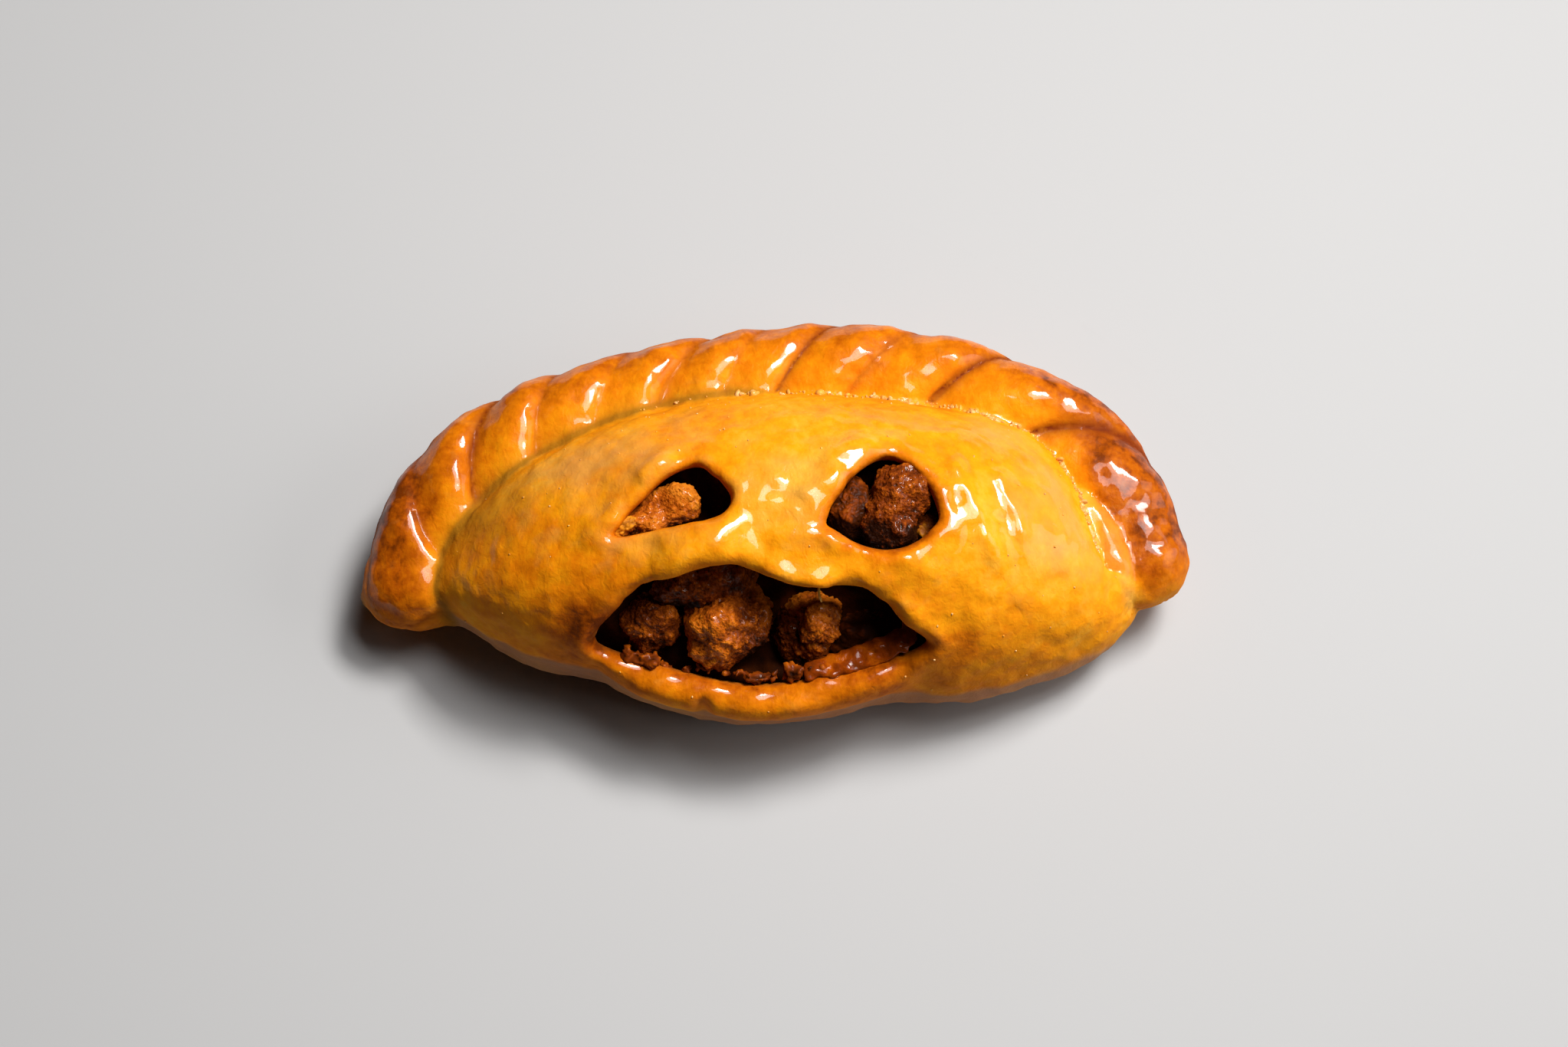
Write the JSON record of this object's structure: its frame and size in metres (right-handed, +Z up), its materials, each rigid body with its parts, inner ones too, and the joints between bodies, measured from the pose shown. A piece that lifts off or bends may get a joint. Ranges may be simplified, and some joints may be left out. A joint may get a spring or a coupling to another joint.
{
  "type": "curry puff",
  "caption": "Half-moon baked curry puff with a twisted rope edge, eye holes and a mouth cut through its glazed crust, and a diced curry filling showing inside.",
  "frame": {"origin": "on the surface that the puff rests on, under the middle of its bounding box", "axes": "+X along the puff from its left corner to its right one, +Y towards the rope edge, +Z up"},
  "size_m": [0.1238, 0.0618, 0.036],
  "materials": {
    "crust": "egg-washed pastry baked golden, browner along its rope edge",
    "filling": "moist browned meat and potato dice in a dark curry gravy"
  },
  "bodies": {
    "root": {"crust": "crust", "filling": "filling"}
  },
  "joints": []
}
